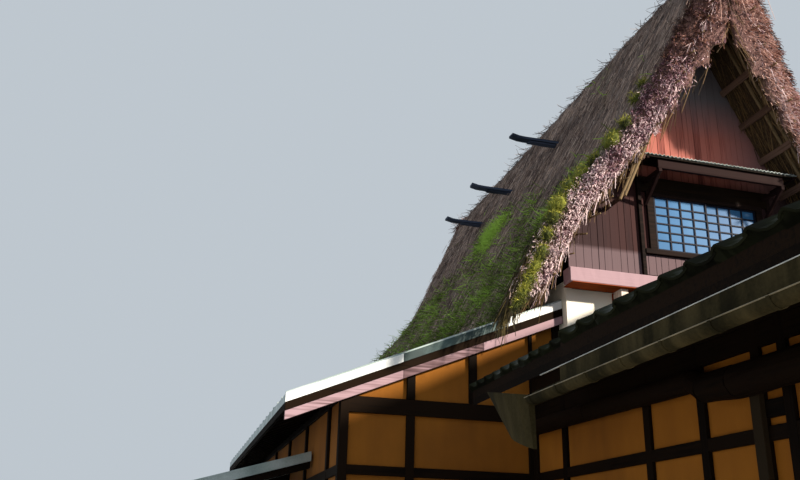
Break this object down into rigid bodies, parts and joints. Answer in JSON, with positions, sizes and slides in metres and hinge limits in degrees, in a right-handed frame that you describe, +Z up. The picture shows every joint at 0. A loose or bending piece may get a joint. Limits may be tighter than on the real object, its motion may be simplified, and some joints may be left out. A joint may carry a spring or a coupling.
{
  "type": "thatched farmhouse",
  "caption": "Steep thatched farmhouse with boarded gables, a low lean-to roof along each side and a lower tiled wing in front with a porch.",
  "frame": {"origin": "middle of the base of the whole house, at ground level", "axes": "+Z up, +Y from the tiled wing towards the rear gable, +X to the right seen from the wing"},
  "size_m": [13.81, 19.645, 10.96],
  "materials": {
    "plaster": "ochre and cream earth plaster, matt",
    "dark_timber": "old timber, stained nearly black",
    "red_boards": "red-brown weathered boards",
    "grey_timber": "bare weathered grey timber",
    "thatch": "old straw thatch with moss",
    "bamboo": "weathered poles and boards",
    "sheet_metal": "dull painted sheet",
    "copper": "oxidised olive-brown sheet",
    "roof_tile": "grey fired clay with moss",
    "stone": "rough grey stone",
    "paper": "pale blue window panes"
  },
  "bodies": {
    "root": {"main_front_wall": "plaster", "main_side_wall_left": "plaster", "main_side_wall_right": "plaster", "lean_to_end_wall_left": "plaster", "lean_to_end_wall_right": "plaster", "lean_to_side_wall_left": "plaster", "lean_to_side_wall_right": "plaster", "rear_wall": "plaster", "wing_wall_left": "plaster", "wing_wall_right": "plaster", "wing_wall_front": "plaster", "ground_floor": "dark_timber", "attic_floor": "dark_timber", "main_front_timbers": "dark_timber", "lean_to_timbers_left": "dark_timber", "lean_to_timbers_right": "dark_timber", "rear_timbers": "dark_timber", "front_pent_fascia": "dark_timber", "wing_timbers": "dark_timber", "entrance_doors": "dark_timber", "wing_log_frame": "dark_timber", "wing_porch_frame": "dark_timber", "side_porch_frame": "dark_timber", "front_gable_boards": "red_boards", "front_window_frame": "red_boards", "rear_gable_boards": "red_boards", "rear_window": "red_boards", "front_base_beam": "grey_timber", "rear_base_beam": "grey_timber", "lean_to_rafters_left": "grey_timber", "lean_to_rafters_right": "grey_timber", "wing_rafters": "grey_timber", "thatch_left": "thatch", "thatch_right": "thatch", "ridge_cap": "thatch", "verge_poles_front": "bamboo", "verge_poles_rear": "bamboo", "ridge_boards": "bamboo", "front_pent_roof": "sheet_metal", "rear_pent_roof": "sheet_metal", "lean_to_roof_left": "sheet_metal", "lean_to_roof_right": "sheet_metal", "side_porch_roof": "sheet_metal", "wing_gutter": "copper", "wing_roof_left": "roof_tile", "wing_roof_right": "roof_tile", "wing_ridge": "roof_tile", "stone_footing": "stone", "lean_to_screens_left": "paper", "lean_to_screens_right": "paper", "front_window_sash_left": "paper", "front_window_sash_right": "paper", "wing_screen": "paper"}
  },
  "joints": []
}
